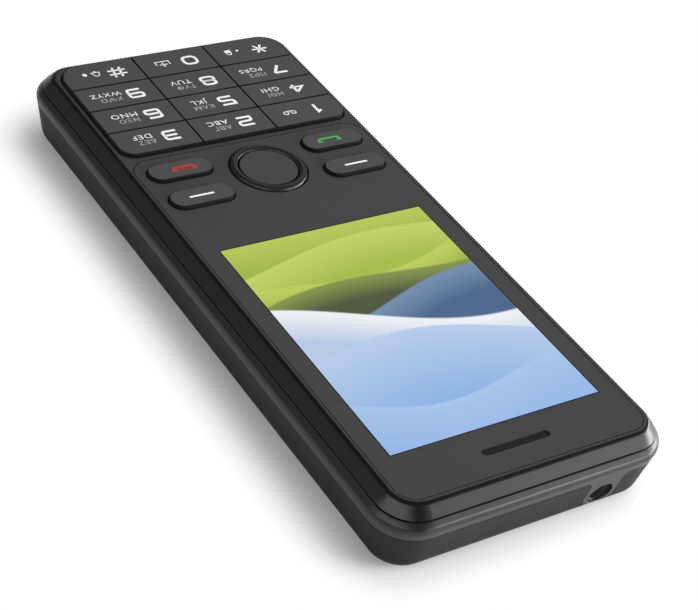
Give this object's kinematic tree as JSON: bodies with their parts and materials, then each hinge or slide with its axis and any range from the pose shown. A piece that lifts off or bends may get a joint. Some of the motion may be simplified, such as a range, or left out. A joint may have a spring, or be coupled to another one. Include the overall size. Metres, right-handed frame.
{
  "type": "bar-shaped mobile phone",
  "caption": "Flat bar-shaped mobile phone with a window, a round navigation key between soft and call keys, a flush keypad of number keys, and a lift-off back cover.",
  "frame": {"origin": "middle of the flat back face, on the plane the phone lies on", "axes": "+X to the user's right, +Y towards the earpiece end, +Z out of the display"},
  "size_m": [0.0586, 0.1372, 0.0151],
  "materials": {
    "shell_paint": "satin dark grey",
    "frame_plastic": "semi-gloss dark grey",
    "cover_plastic": "fine matte texture",
    "panel_paint": "satin dark grey",
    "window_glass": "clear polished",
    "key_plastic": "satin dark grey",
    "ring_gloss": "high gloss",
    "silicone": "soft matte",
    "sheet_steel": "plain",
    "screw_steel": "black oxide",
    "contact_brass": "gold plated",
    "socket_plastic": "moulded",
    "board_laminate": "solder mask",
    "chip_epoxy": "moulded",
    "film_polyester": "clear film",
    "display_stack": "polished",
    "mesh_steel": "woven",
    "battery_wrap": "printed wrap",
    "led_package": "moulded"
  },
  "bodies": {
    "chassis": {"front_housing": "shell_paint", "rear_frame": "frame_plastic", "front_panel": "panel_paint", "display_window": "window_glass", "torch_guide": "window_glass", "key_mat": "silicone", "key_domes": "sheet_steel", "dome_film": "film_polyester", "display_module": "display_stack", "display_tray": "sheet_steel", "display_connector": "socket_plastic", "display_ribbon": "contact_brass", "earpiece_mesh": "mesh_steel", "earpiece_receiver": "sheet_steel", "main_board": "board_laminate", "shield_radio": "sheet_steel", "shield_processor": "sheet_steel", "board_chips": "chip_epoxy", "sim_socket_left": "sheet_steel", "sim_socket_right": "sheet_steel", "card_socket": "sheet_steel", "microphone": "sheet_steel", "antenna": "contact_brass", "battery_contacts": "socket_plastic", "charge_socket": "sheet_steel", "charge_tongue": "socket_plastic", "audio_jack": "socket_plastic", "jack_sleeve": "contact_brass", "camera_module": "chip_epoxy", "torch_led": "led_package", "loudspeaker": "socket_plastic", "vibration_motor": "sheet_steel", "battery": "battery_wrap", "housing_screws": "screw_steel"},
    "key_0": {"key_0": "key_plastic"},
    "key_1": {"key_1": "key_plastic"},
    "key_2": {"key_2": "key_plastic"},
    "key_3": {"key_3": "key_plastic"},
    "key_4": {"key_4": "key_plastic"},
    "key_5": {"key_5": "key_plastic"},
    "key_6": {"key_6": "key_plastic"},
    "key_7": {"key_7": "key_plastic"},
    "key_8": {"key_8": "key_plastic"},
    "key_9": {"key_9": "key_plastic"},
    "key_star": {"key_star": "key_plastic"},
    "key_hash": {"key_hash": "key_plastic"},
    "soft_key_left": {"soft_key_left": "key_plastic"},
    "soft_key_right": {"soft_key_right": "key_plastic"},
    "call_key": {"call_key": "key_plastic"},
    "end_key": {"end_key": "key_plastic"},
    "nav_button": {"nav_button": "key_plastic"},
    "nav_pad": {"nav_pad": "silicone"},
    "nav_ring": {"nav_ring": "ring_gloss"},
    "battery_cover": {"battery_cover": "cover_plastic", "camera_window": "window_glass", "speaker_mesh": "mesh_steel"}
  },
  "joints": [
    {"name": "key_0_press", "type": "slide", "parent": "chassis", "child": "key_0", "axis": [0, 0, -1], "range_m": [0, 0.00025], "stiffness_N_per_m": 3000},
    {"name": "key_1_press", "type": "slide", "parent": "chassis", "child": "key_1", "axis": [0, 0, -1], "range_m": [0, 0.00025], "stiffness_N_per_m": 3000},
    {"name": "key_2_press", "type": "slide", "parent": "chassis", "child": "key_2", "axis": [0, 0, -1], "range_m": [0, 0.00025], "stiffness_N_per_m": 3000},
    {"name": "key_3_press", "type": "slide", "parent": "chassis", "child": "key_3", "axis": [0, 0, -1], "range_m": [0, 0.00025], "stiffness_N_per_m": 3000},
    {"name": "key_4_press", "type": "slide", "parent": "chassis", "child": "key_4", "axis": [0, 0, -1], "range_m": [0, 0.00025], "stiffness_N_per_m": 3000},
    {"name": "key_5_press", "type": "slide", "parent": "chassis", "child": "key_5", "axis": [0, 0, -1], "range_m": [0, 0.00025], "stiffness_N_per_m": 3000},
    {"name": "key_6_press", "type": "slide", "parent": "chassis", "child": "key_6", "axis": [0, 0, -1], "range_m": [0, 0.00025], "stiffness_N_per_m": 3000},
    {"name": "key_7_press", "type": "slide", "parent": "chassis", "child": "key_7", "axis": [0, 0, -1], "range_m": [0, 0.00025], "stiffness_N_per_m": 3000},
    {"name": "key_8_press", "type": "slide", "parent": "chassis", "child": "key_8", "axis": [0, 0, -1], "range_m": [0, 0.00025], "stiffness_N_per_m": 3000},
    {"name": "key_9_press", "type": "slide", "parent": "chassis", "child": "key_9", "axis": [0, 0, -1], "range_m": [0, 0.00025], "stiffness_N_per_m": 3000},
    {"name": "key_star_press", "type": "slide", "parent": "chassis", "child": "key_star", "axis": [0, 0, -1], "range_m": [0, 0.00025], "stiffness_N_per_m": 3000},
    {"name": "key_hash_press", "type": "slide", "parent": "chassis", "child": "key_hash", "axis": [0, 0, -1], "range_m": [0, 0.00025], "stiffness_N_per_m": 3000},
    {"name": "soft_key_left_press", "type": "slide", "parent": "chassis", "child": "soft_key_left", "axis": [0, 0, -1], "range_m": [0, 0.00025], "stiffness_N_per_m": 3000},
    {"name": "soft_key_right_press", "type": "slide", "parent": "chassis", "child": "soft_key_right", "axis": [0, 0, -1], "range_m": [0, 0.00025], "stiffness_N_per_m": 3000},
    {"name": "call_key_press", "type": "slide", "parent": "chassis", "child": "call_key", "axis": [0, 0, -1], "range_m": [0, 0.00025], "stiffness_N_per_m": 3000},
    {"name": "end_key_press", "type": "slide", "parent": "chassis", "child": "end_key", "axis": [0, 0, -1], "range_m": [0, 0.00025], "stiffness_N_per_m": 3000},
    {"name": "nav_button_press", "type": "slide", "parent": "chassis", "child": "nav_button", "axis": [0, 0, -1], "range_m": [0, 0.00025], "stiffness_N_per_m": 3000},
    {"name": "nav_tilt_length", "type": "hinge", "parent": "chassis", "child": "nav_pad", "pos_m": [0, -0.02189, 0.01193], "axis": [1, 0, 0], "range_deg": [-1.2, 1.2], "stiffness_Nm_per_rad": 0.5},
    {"name": "nav_tilt_width", "type": "hinge", "parent": "nav_pad", "child": "nav_ring", "pos_m": [0, -0.02189, 0.0122], "axis": [0, 1, 0], "range_deg": [-1.2, 1.2], "stiffness_Nm_per_rad": 0.5},
    {"name": "cover_lift", "type": "slide", "parent": "chassis", "child": "battery_cover", "axis": [0, 0, -1], "range_m": [0, 0.012]}
  ]
}
